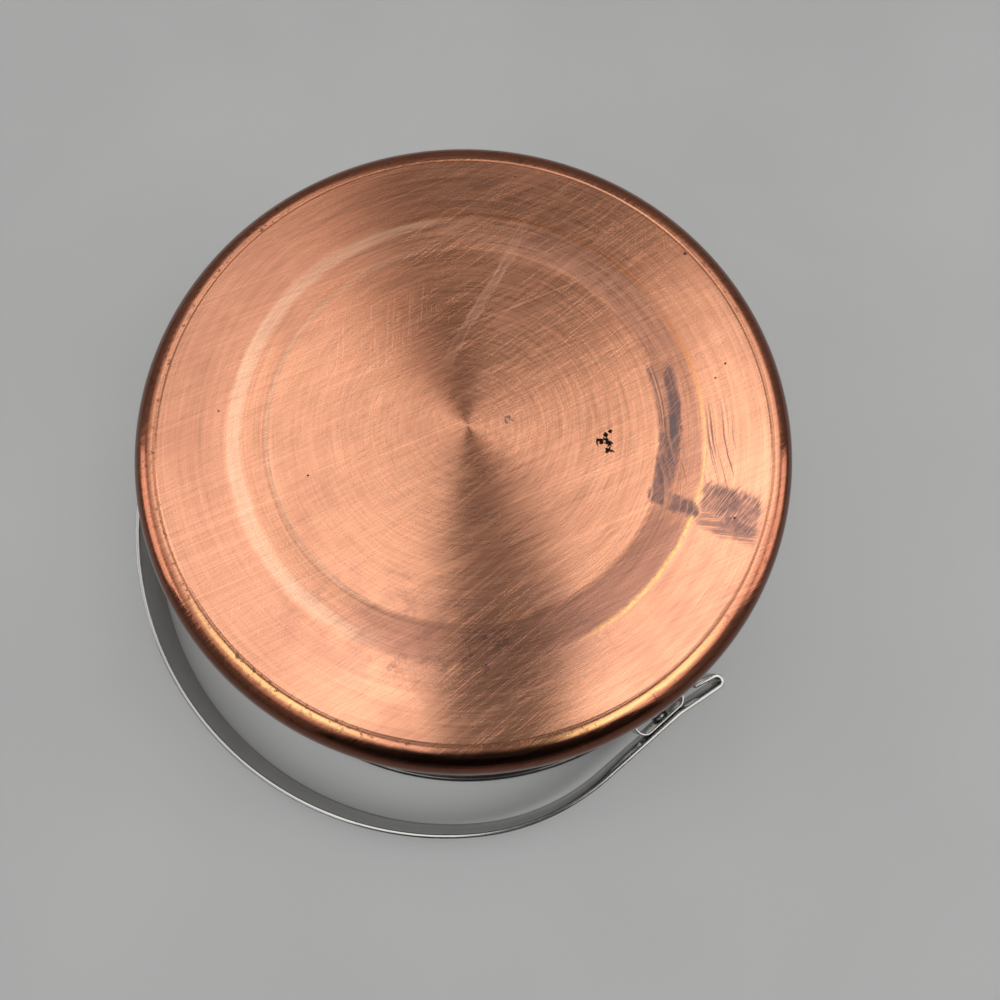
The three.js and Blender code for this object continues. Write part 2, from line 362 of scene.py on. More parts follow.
def drill(piece, radius, reach):
    """Drills a round hole along X through the pivot."""
    bpy.ops.object.select_all(action="DESELECT")
    bpy.ops.mesh.primitive_cylinder_add(
        vertices=RIVET_STEPS, radius=radius, depth=2 * reach, rotation=(0, math.pi / 2, 0)
    )
    bit = bpy.context.object
    hole = piece.modifiers.new("Hole", "BOOLEAN")
    hole.operation = "DIFFERENCE"
    hole.solver = "EXACT"
    hole.object = bit
    apply_modifiers(piece)
    bpy.data.objects.remove(bit)
    select_only(piece)


def select_only(piece):
    bpy.ops.object.select_all(action="DESELECT")
    piece.select_set(True)
    bpy.context.view_layer.objects.active = piece


def settle(piece, location=(0, 0, 0), rotation=(0, 0, 0)):
    """Moves a piece to its place, keeps the place in its mesh, and shades it smooth."""
    select_only(piece)
    piece.location = location
    piece.rotation_euler = rotation
    bpy.ops.object.transform_apply(location=True, rotation=True, scale=True)
    bpy.ops.object.shade_smooth_by_angle(angle=SMOOTH_ANGLE)


def settle_both(piece, name):
    """Puts a piece drawn for the right-hand pivot on both sides of the pot."""
    select_only(piece)
    bpy.ops.object.duplicate()
    pieces = {"right": piece, "left": bpy.context.object}
    for side, turn in SIDES.items():
        pieces[side].name = f"{name}_{side}_piece"
        pieces[side].data.name = pieces[side].name
        settle(pieces[side], PIVOT, (0, 0, turn))
    return pieces


def dress(piece, node, body, material):
    """Gives a piece its material, hides the solid that it takes the place of, and hangs it on what it moves
    with.
    """
    piece.data.materials.clear()
    piece.data.materials.append(material)
    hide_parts(node)
    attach(piece, body)


# Shader building

GROUPS = {}


def rgba(value):
    return (*value, 1.0)


class Graph:
    """Places and links the nodes of one shader tree."""

    def __init__(self, tree):
        self.tree = tree

    def feed(self, socket, value):
        if isinstance(value, bpy.types.NodeSocket):
            self.tree.links.new(value, socket)
        else:
            socket.default_value = value

    def add(self, kind, inputs=None, **settings):
        made = self.tree.nodes.new(kind)
        for key, value in settings.items():
            setattr(made, key, value)
        for key, value in (inputs or {}).items():
            self.feed(made.inputs[key], value)
        return made

    def math(self, operation, *values):
        inputs = dict(enumerate(values))
        return self.add("ShaderNodeMath", inputs, operation=operation).outputs[0]

    def vector(self, operation, *values):
        inputs = dict(enumerate(values))
        return self.add("ShaderNodeVectorMath", inputs, operation=operation)

    def mix(self, factor, first, second, blend="MIX"):
        made = self.add("ShaderNodeMix", data_type="RGBA", blend_type=blend)
        self.feed(made.inputs[0], factor)
        self.feed(made.inputs[6], first)
        self.feed(made.inputs[7], second)
        return made.outputs[2]

    def ramp(self, value, low, high, to_low=0.0, to_high=1.0):
        inputs = {"Value": value, 1: low, 2: high, 3: to_low, 4: to_high}
        return self.add("ShaderNodeMapRange", inputs, interpolation_type="SMOOTHSTEP").outputs[0]

    def sum(self, *values):
        total = values[0]
        for value in values[1:]:
            total = self.math("ADD", total, value)
        return total

    def most(self, *values):
        top = values[0]
        for value in values[1:]:
            top = self.math("MAXIMUM", top, value)
        return top

    def times(self, *values):
        product = values[0]
        for value in values[1:]:
            product = self.math("MULTIPLY", product, value)
        return product

    def split(self, vector):
        return self.add("ShaderNodeSeparateXYZ", {0: vector}).outputs

    def join(self, x, y, z):
        return self.add("ShaderNodeCombineXYZ", {0: x, 1: y, 2: z}).outputs[0]

    def turned(self, vector, angle):
        """A vector turned about the vertical."""
        inputs = {"Vector": vector, "Angle": angle}
        return self.add("ShaderNodeVectorRotate", inputs, rotation_type="Z_AXIS").outputs[0]

    def swing(self, value, amount):
        """A value between 0 and 1 turned into a change of at most half the amount, up or down."""
        return self.times(self.math("SUBTRACT", value, 0.5), amount)

    def noise(self, vector, scale, detail=2.0, roughness=0.5):
        inputs = {"Vector": vector, "Scale": scale, "Detail": detail, "Roughness": roughness}
        return self.add("ShaderNodeTexNoise", inputs).outputs["Fac"]

    def group(self, make, **inputs):
        """Places a shared effect, which is built the first time that it is asked for."""
        if make.__name__ not in GROUPS:
            GROUPS[make.__name__] = make()
        made = self.add("ShaderNodeGroup", node_tree=GROUPS[make.__name__])
        for key, value in inputs.items():
            self.feed(made.inputs[key.replace("_", " ")], value)
        return made.outputs

    def centred(self, turn=(0.0, 0.0, 0.0)):
        """Object coordinates about the pot's axis, turned if need be."""
        coordinates = self.add("ShaderNodeTexCoord").outputs["Object"]
        moved = self.vector("SUBTRACT", coordinates, tuple(AXIS)).outputs[0]
        return self.add("ShaderNodeMapping", {"Vector": moved, "Rotation": turn}).outputs[0]


def new_group(name, inputs, outputs):
    """A shader group with its named sockets, and the nodes that stand for them inside it."""
    tree = bpy.data.node_groups.new(name, "ShaderNodeTree")
    for socket_name in inputs:
        kind = "NodeSocketVector" if socket_name == "Vector" else "NodeSocketFloat"
        tree.interface.new_socket(socket_name, in_out="INPUT", socket_type=kind)
    for socket_name in outputs:
        tree.interface.new_socket(socket_name, in_out="OUTPUT", socket_type="NodeSocketFloat")
    graph = Graph(tree)
    return graph, graph.add("NodeGroupInput").outputs, graph.add("NodeGroupOutput").inputs


def polar_group():
    """Radius in millimetres and angle in degrees about the pot's axis."""
    graph, given, result = new_group("Polar place", ["Vector"], ["Radius", "Angle"])
    split = graph.split(given["Vector"])
    square = graph.sum(graph.times(split[0], split[0]), graph.times(split[1], split[1]))
    graph.feed(result["Radius"], graph.math("DIVIDE", graph.math("SQRT", square), MM))
    graph.feed(result["Angle"], graph.math("DEGREES", graph.math("ARCTAN2", split[1], split[0])))
    return graph.tree


def ring_lines_group():
    """Hairlines that run round an axis, as a lathe leaves them: Spread says how much radius counts."""
    graph, given, result = new_group("Ring lines", ["Vector", "Fineness", "Breaks", "Spread"], ["Lines"])
    split = graph.split(given["Vector"])
    flat = graph.vector("MULTIPLY", given["Vector"], (1.0, 1.0, 0.0)).outputs[0]
    radius = graph.vector("LENGTH", flat).outputs["Value"]
    around = graph.vector("NORMALIZE", flat).outputs[0]
    across = graph.math("SUBTRACT", graph.times(radius, given["Spread"]), split[2])
    across = graph.times(across, given["Fineness"])
    breaks = graph.add("ShaderNodeVectorMath", {0: around, "Scale": given["Breaks"]}, operation="SCALE")
    place = graph.vector("ADD", breaks.outputs[0], graph.join(0.0, 0.0, across))
    graph.feed(result["Lines"], graph.noise(place.outputs[0], 1.0, detail=3.0, roughness=0.65))
    return graph.tree


# Scratches are shorter up a wall, and start where the noise passes a cut that their amount lowers
WALL_CROWDING = 6.0
SCRATCH_CUT = 0.72
SCRATCH_REACH = 0.25
SCRATCH_EDGE = 0.1


def scratches_group():
    """Straight hairlines at one angle, and the scratches among them: Length and Width in metres."""
    names = ["Vector", "Angle", "Length", "Width", "Amount"]
    graph, given, result = new_group("Straight scratches", names, ["Mask", "Grain"])
    split = graph.split(graph.turned(given["Vector"], given["Angle"]))
    along = graph.math("DIVIDE", split[0], given["Length"])
    across = graph.math("DIVIDE", split[1], given["Width"])
    upright = graph.times(graph.math("DIVIDE", split[2], given["Length"]), WALL_CROWDING)
    lines = graph.noise(graph.join(along, across, upright), 1.0, detail=2.0, roughness=0.7)
    graph.feed(result["Grain"], lines)
    low = graph.math("SUBTRACT", SCRATCH_CUT, graph.times(given["Amount"], SCRATCH_REACH))
    graph.feed(result["Mask"], graph.ramp(lines, low, graph.sum(low, SCRATCH_EDGE)))
    return graph.tree


def pits_group():
    """Small dark spots of uneven size: Spacing in metres, Share of the places that hold one."""
    graph, given, result = new_group("Pits", ["Vector", "Spacing", "Share", "Size"], ["Mask"])
    scale = graph.math("DIVIDE", 1.0, given["Spacing"])
    ragged = graph.noise(given["Vector"], graph.times(scale, 5.0), detail=3.0)
    cells = graph.add("ShaderNodeTexVoronoi", {"Vector": given["Vector"], "Scale": scale})
    chosen = graph.add("ShaderNodeSeparateColor", {0: cells.outputs["Color"]}).outputs
    held = graph.math("LESS_THAN", chosen[0], given["Share"])
    size = graph.times(chosen[1], ragged, given["Size"])
    spot = graph.math("LESS_THAN", cells.outputs["Distance"], size)
    graph.feed(result["Mask"], graph.times(held, spot))
    return graph.tree


def patch_group():
    """A soft-edged patch between two radii and two angles, in millimetres and degrees."""
    names = ["Radius", "Angle", "From", "To", "Start", "End", "Blur", "Angle blur"]
    graph, given, result = new_group("Polar patch", names, ["Mask"])
    masks = []
    for value, low, high, blur in (("Radius", "From", "To", "Blur"), ("Angle", "Start", "End", "Angle blur")):
        edges = []
        for edge in (low, high):
            outside = graph.math("SUBTRACT", given[edge], given[blur])
            edges.append(graph.ramp(given[value], outside, graph.sum(given[edge], given[blur])))
        masks.append(graph.math("SUBTRACT", *edges))
    graph.feed(result["Mask"], graph.times(*masks))
    return graph.tree


def new_material(name):
    """A material with an empty tree, its shader and its output."""
    material = bpy.data.materials.new(name)
    material.use_nodes = True
    tree = material.node_tree
    tree.nodes.clear()
    graph = Graph(tree)
    shader = graph.add("ShaderNodeBsdfPrincipled")
    graph.add("ShaderNodeOutputMaterial", {"Surface": shader.outputs[0]})
    return material, graph, shader


# The share of a full turn that lays a reflection across the grooves
QUARTER_TURN = 0.25


def brushed_tangent(graph, shader, strength):
    """Grooves round the axis stretch every reflection across them."""
    tangent = graph.add("ShaderNodeTangent", direction_type="RADIAL", axis="Z").outputs[0]
    graph.feed(shader.inputs["Tangent"], tangent)
    shader.inputs["Anisotropic"].default_value = strength
    shader.inputs["Anisotropic Rotation"].default_value = QUARTER_TURN


def emboss(graph, shader, relief, strength, distance):
    """Fine relief that is too shallow to model."""
    bump = graph.add("ShaderNodeBump", {"Height": relief, "Strength": strength, "Distance": distance})
    graph.feed(shader.inputs["Normal"], bump.outputs[0])


# Marks on the copper, in millimetres from the axis and degrees about it

Patch = namedtuple("Patch", "low high start end blur angle_blur drift share", defaults=(0.0, 1.0))


def far_side(low, high, blur, share=1.0):
    """Two patches that meet behind the axis, where the angle jumps from one end of its range to the other."""
    return [Patch(low, high, start, end, blur, 12, share=share) for start, end in ((152, 210), (-210, -66))]


MARKS = {
    # The slope is darker in patches: partly tarnish, partly painted shade
    "dull_and_shaded_slope": [
        Patch(63.2, 74.2, -16, 28, 0.6, 7), Patch(63.2, 74.2, -70, -46, 0.6, 8, share=0.75),
        Patch(63.2, 74.2, -56, -8, 0.6, 9, share=0.45), Patch(63.2, 74.2, 26, 128, 0.8, 14, share=0.55),
    ],
    "cloud": [Patch(54, 85, -82, -8, 5, 12)],
    "veins": [Patch(52, 84, -80, -6, 5, 12)],
    "pale_slope": [Patch(63.4, 74.3, 78, 172, 0.8, 14)],
    # Painted shade: the outer ring on the far side is made darker
    "far_ring_shade": far_side(75.4, 96, 0.8),
    # Painted highlights on the far side's steps
    "far_step_highlights": far_side(70.6, 74.8, 0.9) + far_side(62.3, 63.4, 0.5, share=0.8),
    # Painted highlights: two gold lines beside the corner
    "corner_highlight_lines": [Patch(97.2, 98.8, -92, -58, 0.7, 9), Patch(97.2, 98.8, -26, 8, 0.7, 9)],
    # Painted dark reflection: a black band on the corner
    "dark_corner_reflection": [Patch(98.6, 102.6, -58, -22, 0.8, 12)],
    # Painted highlight: a gold line along the step
    "step_highlight_line": [Patch(74.3, 75.5, -8, 36, 0.5, 8), Patch(74.5, 75.3, 30, 68, 0.4, 8, share=0.7)],
    "amber_step": [Patch(74.2, 75.8, 60, 168, 0.6, 14)],
    "strokes": [
        Patch(60.4, 63.6, 28, 71, 1, 5), Patch(62, 66, 28, 69, 1.2, 6, drift=0.085),
        Patch(61, 77, 26.8, 31.4, 1.4, 1.8, drift=-0.3),
    ],
    "slate": [Patch(62.2, 65.4, 40, 58, 1, 6, drift=0.1)],
    "pad": [Patch(76, 95, 29.3, 36.8, 2.6, 2.4), Patch(83, 95, 27.2, 31, 2.4, 1.6)],
    "pad_foot": [Patch(77, 95.5, 26, 29.8, 1.5, 0.8)],
    "trails": [Patch(75.8, 84.5, 35.5, 54, 1, 6)],
    "hook": [Patch(64, 70.5, 29, 46, 0.8, 5)],
}
PITS = (
    (-23.8, -63.2, 0.5), (-48.5, -39.1, 0.5), (15.5, -59.2, 0.6), (-1.5, 95.4, 0.8),
    (20.6, -20.5, 0.4), (-52.0, -58.0, 0.5), (75.2, 44.5, 0.4), (38.0, 72.0, 0.4),
)
SMUDGE = (6.3, 11.3, 2.0)
FLECK_PLACE = (32.2, 31.2)
FLECK_REACH = 4.2
SCUFF_PLACE = (-32.0, 34.0)
SCUFF_TURN = 66.5
SCUFF_LENGTH = (31.0, 26.0)
SCUFF_WIDTH = (2.0, 1.1)
SCUFF_MIDDLE = (0.2, 1.3)
SCUFF_STRAY = 4.5


class CopperFace:
    """Lays colours over one another on the copper, and knows where each mark lies."""

    def __init__(self, graph, pot, bare):
        self.graph = graph
        self.pot = pot
        self.tone = rgba(bare)
        self.place = graph.centred()
        polar = graph.group(polar_group, Vector=self.place)
        self.radius, self.angle = polar["Radius"], polar["Angle"]
        self.height = graph.split(self.place)[2]
        wobble = graph.math("SUBTRACT", graph.noise(self.place, 150.0, detail=5.0, roughness=0.6), 0.5)
        self.uneven_radius = graph.sum(self.radius, graph.times(wobble, 1.6))
        self.uneven_angle = graph.sum(self.angle, graph.times(wobble, 3.4))
        self.ragged = graph.noise(self.place, 620.0, detail=4.0, roughness=0.65)
        self.blotch = graph.noise(self.place, 55.0, detail=6.0, roughness=0.62)
        self.fine = self.rings(1700.0, 3.0)
        self.coarse = self.rings(620.0, 2.0)
        self.broad = self.rings(300.0, 1.0)
        long_hatch = self.hatch(turn=75, run=70, width=0.5, amount=0.55)
        short_hatch = self.hatch(turn=90, run=40, width=0.35, amount=0.6)
        cross_hatch = self.hatch(turn=140, run=14, width=0.6, amount=0.6)
        self.long_grain, self.short_grain = long_hatch["Grain"], short_hatch["Grain"]
        here = graph.ramp(graph.noise(self.place, 20.0, detail=2.0), 0.4, 0.62)
        there = graph.ramp(graph.noise(self.place, 17.0, detail=1.0), 0.5, 0.64)
        crossed = graph.times(cross_hatch["Mask"], there)
        self.light = graph.most(graph.times(long_hatch["Mask"], here), crossed)
        self.dark = short_hatch["Mask"]

    def rings(self, fineness, breaks, place=None):
        """Lathe lines, closer together with more fineness and shorter with more breaks."""
        place = self.place if place is None else place
        return self.graph.group(
            ring_lines_group, Vector=place, Fineness=fineness, Breaks=breaks, Spread=1.0
        )["Lines"]

    def hatch(self, turn, run, width, amount):
        """Straight hairlines, turned in degrees, with their run and width in millimetres."""
        return self.graph.group(
            scratches_group, Vector=self.place, Angle=-math.radians(turn),
            Length=run * MM, Width=width * MM, Amount=amount,
        )

    def marks(self, name):
        """Where the patches of one name lie, the strongest where they overlap."""
        graph = self.graph
        masks = []
        for mark in MARKS[name]:
            lean = graph.times(graph.math("SUBTRACT", self.uneven_angle, mark.start), mark.drift)
            mask = graph.group(
                patch_group, Radius=graph.math("SUBTRACT", self.uneven_radius, lean), Angle=self.uneven_angle,
                From=mark.low, To=mark.high, Start=mark.start, End=mark.end,
                Blur=mark.blur, Angle_blur=mark.angle_blur,
            )["Mask"]
            masks.append(graph.times(mask, mark.share))
        return graph.most(*masks)

    def distance(self, x, y):
        """How far a point lies from a place on the base."""
        middle = (x * MM, y * MM, self.pot.height)
        return self.graph.vector("DISTANCE", self.place, middle).outputs["Value"]

    def spot(self, x, y, size):
        """A ragged spot of about the size given."""
        edge = self.graph.ramp(self.ragged, 0.3, 0.7, 0.4 * size * MM, 1.3 * size * MM)
        return self.graph.math("LESS_THAN", self.distance(x, y), edge)

    def tint(self, colour, amount, *masks):
        """Lays a colour over the tone where the masks say."""
        self.tone = self.graph.mix(self.graph.times(*masks, amount), self.tone, rgba(colour))


def tarnish_tones(face, finish):
    """Tarnish in patches, the slope darker in patches from tarnish and painted shade, its cloud, painted
    shade on the far side's outer ring and painted highlights on the far side's steps.
    """
    graph = face.graph
    tarnish = graph.ramp(graph.noise(face.place, 24.0, detail=4.0, roughness=0.6), 0.42, 0.74)
    face.tint(finish.copper_rose, 0.5, tarnish)
    # The slope darker in patches: partly tarnish, partly painted shade
    face.tint(finish.copper_dull, 0.7, face.marks("dull_and_shaded_slope"))
    face.tint(finish.copper_dull, 0.4, face.marks("cloud"), graph.ramp(face.blotch, 0.4, 0.6))
    contour = graph.math("ABSOLUTE", graph.math("SUBTRACT", face.blotch, 0.5))
    here = graph.ramp(graph.noise(face.place, 32.0, detail=2.0), 0.45, 0.6)
    face.tint(finish.copper_stain, 0.5, face.marks("veins"), graph.ramp(contour, 0.022, 0.004), here)
    pale = graph.times(face.marks("pale_slope"), graph.ramp(face.coarse, 0.35, 0.6, 0.3, 1.0))
    face.tint(finish.copper_scuff, 0.1, pale)
    # Painted shade: the outer ring on the far side is made darker
    face.tint(finish.copper_rose, 0.35, face.marks("far_ring_shade"))
    # Painted highlights on the steps of the far side
    face.tint(finish.step_highlight_tint, 0.4, face.marks("far_step_highlights"))
    return tarnish, pale


def corner_tones(face, finish):
    """The red-brown corner, partly patina and partly painted dark reflection, more painted dark reflection on
    its outside and in a band, the rosy wall, and painted highlight lines.
    """
    graph, pot = face.graph, face.pot
    groove, outside = pot.groove / MM, pot.base_radius / MM
    corner = graph.times(
        graph.ramp(face.radius, groove + 0.2, groove + 2.6),
        graph.ramp(face.height, pot.height - 11 * MM, pot.height - 5 * MM),
    )
    # Red-brown corner: partly patina, partly painted dark reflection
    face.tint(finish.corner_patina_and_dark_reflection, 0.88, corner)
    face.tint(finish.copper_rose, 0.6, graph.ramp(face.height, pot.height - 5 * MM, pot.height - 9 * MM))
    # Painted dark reflection on the outside of the corner, near its silhouette
    face.tint(finish.dirt_and_dark_reflection, 0.8, corner, graph.ramp(face.radius, outside - 5.5, outside - 1.5))
    # Painted highlight lines beside the corner
    face.tint(finish.gold_highlight, 0.55, face.marks("corner_highlight_lines"))
    # Painted dark reflection: a black band on the corner
    face.tint(finish.soot_and_dark_reflection, 0.9, face.marks("dark_corner_reflection"), graph.ramp(face.broad, 0.3, 0.6, 0.75, 1.0))
    return corner


def lathe_tones(face, finish):
    """Lathe rings and hatching as light and dark lines, then a painted gold highlight and the amber line
    along the step.
    """
    graph = face.graph
    ring_depth = graph.ramp(face.angle, -60.0, 60.0, 0.3, 0.7)
    shade = graph.sum(
        1.0, graph.swing(face.fine, 0.6), graph.times(graph.swing(face.coarse, 1.0), ring_depth),
        graph.swing(face.broad, 0.2), graph.swing(face.long_grain, 0.6), graph.swing(face.short_grain, 0.6),
        graph.times(face.light, 0.14), graph.times(face.dark, -0.14),
    )
    face.tone = graph.mix(1.0, face.tone, shade, "MULTIPLY")
    # Painted highlight: a gold line along the step
    face.tint(finish.gold_highlight, 0.85, face.marks("step_highlight_line"), graph.ramp(face.ragged, 0.35, 0.55))
    face.tint(finish.copper_amber, 0.6, face.marks("amber_step"), graph.ramp(face.coarse, 0.36, 0.58))


def stain_tones(face, finish):
    """The purple-grey stain: strokes beside the disc, a hook, a rubbed pad and trails that sweep into it."""
    graph = face.graph
    rub = face.hatch(turn=100, run=12, width=0.35, amount=0.5)["Grain"]
    hairs = graph.ramp(rub, 0.52, 0.64, 1.0, 0.2)
    shrink = graph.ramp(face.uneven_angle, 50.0, 27.0, 1.0, 0.9)
    swept_place = graph.vector("MULTIPLY", face.place, graph.join(shrink, shrink, 1.0)).outputs[0]
    thread = face.rings(900.0, 0.7, swept_place)
    threads = graph.ramp(thread, 0.53, 0.6)
    swept = graph.ramp(face.hatch(turn=46, run=22, width=0.35, amount=0.5)["Grain"], 0.5, 0.6, 1.0, 0.15)
    patchy = graph.ramp(graph.noise(face.place, 210.0, detail=5.0, roughness=0.6), 0.3, 0.58, 0.6, 1.0)

    def worn(mask, amount):
        return graph.ramp(graph.sum(mask, graph.swing(rub, amount)), 0.3, 0.8)

    strokes = graph.times(
        worn(face.marks("strokes"), 2.4), graph.ramp(thread, 0.5, 0.6, 1.0, 0.2),
        graph.ramp(hairs, 0.0, 1.0, 0.35, 1.0),
    )
    stain = graph.most(
        graph.times(strokes, patchy), graph.times(worn(face.marks("pad"), 3.0), patchy, hairs),
        graph.times(face.marks("pad_foot"), swept, 0.7), graph.times(face.marks("trails"), threads, 0.85),
        graph.times(face.marks("hook"), threads, 0.7),
    )
    face.tint(finish.copper_stain, 0.95, stain)
    face.tint(finish.copper_slate, 0.75, face.marks("slate"), graph.ramp(thread, 0.46, 0.56, 1.0, 0.2), hairs)
    return stain


def scuff_tone(face, finish):
    """One long scuff across the disc, paler along its two sides than in its middle."""
    graph = face.graph
    start = tuple(part * MM for part in (*SCUFF_PLACE, 0.0))
    moved = graph.vector("SUBTRACT", face.place, start).outputs[0]
    along, across, _ = graph.split(graph.turned(moved, math.radians(SCUFF_TURN)))
    stray = graph.swing(graph.noise(face.place, 130.0, detail=4.0), SCUFF_STRAY * MM)
    across = graph.math("ABSOLUTE", graph.sum(across, stray))
    scuff = graph.times(
        graph.ramp(graph.math("ABSOLUTE", along), *(part * MM for part in SCUFF_LENGTH)),
        graph.ramp(across, *(part * MM for part in SCUFF_WIDTH)),
        graph.ramp(across, *(part * MM for part in SCUFF_MIDDLE), 0.4, 1.0),
        graph.ramp(face.hatch(turn=-SCUFF_TURN, run=16, width=0.35, amount=0.5)["Grain"], 0.38, 0.58),
        graph.ramp(face.blotch, 0.36, 0.52, 0.3, 1.0),
    )
    face.tint(finish.copper_scuff, 0.55, scuff)
    return scuff


def dirt_tones(face, finish):
    """Red oxide and crust in the groove, mottled dirt on the corner, pits, a smudge and a burnt fleck."""
    graph, groove = face.graph, face.pot.groove / MM
    off_groove = graph.math("ABSOLUTE", graph.math("SUBTRACT", face.radius, groove + 0.3))
    face.tint(
        finish.copper_rust, 0.6, graph.ramp(off_groove, 0.8, 0.25), graph.ramp(face.broad, 0.3, 0.6, 0.3, 0.8)
    )
    facing = graph.math("COSINE", graph.math("RADIANS", graph.sum(face.angle, 105.0)))
    crust = graph.times(
        graph.ramp(off_groove, 1.3, 0.3), graph.ramp(face.ragged, 0.58, 0.66), graph.ramp(facing, -0.6, 0.7)
    )
    mottle = graph.times(
        graph.ramp(face.radius, groove, groove + 1.0), graph.ramp(face.ragged, 0.52, 0.64),
        graph.ramp(graph.noise(face.place, 70.0, detail=3.0), 0.42, 0.6),
    )
    face.tint(finish.dirt_and_dark_reflection, 0.5, mottle)
    specks = graph.group(pits_group, Vector=face.place, Spacing=6 * MM, Share=0.07, Size=0.2)["Mask"]
    pits = graph.most(specks, *(face.spot(*pit) for pit in PITS))
    face.tint(finish.dirt_and_dark_reflection, 1.0, graph.most(graph.times(crust, 0.6), pits))
    face.tint(finish.copper_stain, 0.75, face.spot(*SMUDGE))
    lumps = graph.noise(face.place, 420.0, detail=3.0, roughness=0.6)
    reach = graph.ramp(lumps, 0.44, 0.62, 0.0, FLECK_REACH * MM)
    fleck = graph.math("LESS_THAN", face.distance(*FLECK_PLACE), reach)
    face.tint(finish.soot_and_dark_reflection, 1.0, fleck)
    return crust, pits, fleck


def copper_material(finish, pot):
    """Worn copper: tarnish, a red-brown corner, lathe rings, hatching, a stain, a scuff, dirt and pits, with
    painted highlights, shade and dark reflections.
    """
    material, graph, shader = new_material("worn_copper")
    face = CopperFace(graph, pot, finish.copper)
    tarnish, pale = tarnish_tones(face, finish)
    corner = corner_tones(face, finish)
    lathe_tones(face, finish)
    stain = stain_tones(face, finish)
    scuff = scuff_tone(face, finish)
    crust, pits, fleck = dirt_tones(face, finish)
    graph.feed(shader.inputs["Base Color"], face.tone)
    shader.inputs["Metallic"].default_value = 1.0
    burnt = graph.most(crust, pits, fleck)
    roughness = graph.sum(
        0.26, graph.times(tarnish, 0.05), graph.times(stain, 0.1), graph.times(burnt, 0.35),
        graph.times(scuff, 0.12), graph.times(pale, 0.02), graph.times(corner, -0.13),
        graph.swing(face.fine, 0.08), graph.swing(face.long_grain, 0.08),
    )
    graph.feed(shader.inputs["Roughness"], roughness)
    brushed_tangent(graph, shader, strength=0.82)
    relief = graph.sum(
        graph.times(face.fine, 0.5), graph.times(face.coarse, 0.6), face.broad,
        graph.times(graph.sum(face.light, face.dark), -0.3), graph.times(face.long_grain, 0.2),
        graph.times(graph.most(crust, fleck), 0.8),
    )
    emboss(graph, shader, relief, strength=0.4, distance=0.06 * MM)
    return material


def steel_material(name, tint, grime, gloss, fineness, stretch=0.0, turn=(0.0, 0.0, 0.0), painted_rim_reflection=None):
    """Brushed steel: hairlines round the axis, a dull film in patches, fine scratches and water specks, and
    where asked a painted dark reflection and shade along the rolled edge.
    """
    material, graph, shader = new_material(name)
    place = graph.centred(turn=turn)
    lines = graph.group(ring_lines_group, Vector=place, Fineness=fineness, Breaks=4.0, Spread=1.0)["Lines"]
    film = graph.ramp(graph.noise(place, 40.0, detail=5.0, roughness=0.6), 0.45, 0.75)
    specks = graph.group(pits_group, Vector=place, Spacing=9 * MM, Share=0.25, Size=0.14)["Mask"]
    marks = graph.group(
        scratches_group, Vector=place, Angle=0.6, Length=30 * MM, Width=0.4 * MM, Amount=0.2
    )["Mask"]
    tone = graph.mix(graph.times(film, 0.3), rgba(tint), rgba(grime))
    tone = graph.mix(graph.ramp(lines, 0.35, 0.65, 0.0, 0.3), tone, rgba(grime))
    tone = graph.mix(graph.times(specks, 0.5), tone, rgba(grime))
    # Painted dark reflection and shade along the rolled edge
    if painted_rim_reflection:
        radius = graph.group(polar_group, Vector=place)["Radius"]
        rim = painted_rim_reflection["radius"] / MM
        edge = graph.times(
            graph.ramp(radius, rim - 3.0, rim - 1.6), graph.ramp(graph.split(place)[2], 3.2 * MM, 2.0 * MM),
            graph.ramp(film, 0.0, 1.0, 1.0, 0.75),
        )
        tone = graph.mix(graph.times(edge, 0.85), tone, rgba(painted_rim_reflection["colour"]))
    graph.feed(shader.inputs["Base Color"], tone)
    shader.inputs["Metallic"].default_value = 1.0
    roughness = graph.sum(gloss, graph.times(film, 0.09), graph.times(graph.most(marks, specks), 0.12))
    graph.feed(shader.inputs["Roughness"], roughness)
    if stretch:
        brushed_tangent(graph, shader, stretch)
    relief = graph.math("SUBTRACT", lines, graph.times(marks, 0.4))
    emboss(graph, shader, relief, strength=0.3, distance=0.05 * MM)
    return material


# Profiles of the spun pieces, with the roundings of the base's relief and the turn of the rolled edge

DISC_LEAD, DISC_SLOPE = 0.5 * MM, 1.5 * MM
DISC_FILLET, SLOPE_FILLET, RING_FILLET = 2.5 * MM, 3.0 * MM, 2.0 * MM
GROOVE_LIP, GROOVE_FLOOR = 0.5 * MM, 0.35 * MM
DISH_MARGIN = 3 * MM
COPPER_LIP = 0.3 * MM
ROLL_START, ROLL_END = math.radians(170), math.radians(-90)


def dish_points(pot, depth, radii):
    """The shallow dish of the sunk disc, at a depth below the copper's face."""
    face = pot.height - depth
    rise = pot.dish - pot.disc_drop
    return [Vector((r, face - pot.dish + rise * (r / pot.disc) ** 2)) for r in radii]


def base_corners(pot, depth, grooved):
    """The base from the edge of the disc to the corner, at a depth below the copper's face."""
    face = pot.height - depth
    corners = [
        (pot.disc - DISC_LEAD, face - pot.disc_drop, DISC_FILLET),
        (pot.disc + DISC_SLOPE, face - pot.disc_step, SLOPE_FILLET),
        (pot.ring - pot.ring_slope, face - pot.ring_drop, SLOPE_FILLET),
        (pot.ring, face, RING_FILLET),
    ]
    if grooved:
        half = pot.groove_width / 2
        corners.append((pot.groove - half, face, GROOVE_LIP))
        corners.append((pot.groove, face - pot.groove_depth, GROOVE_FLOOR))
        corners.append((pot.groove + half, face, GROOVE_LIP))
    corners.append((pot.base_radius - depth, face, pot.corner - depth))
    return corners


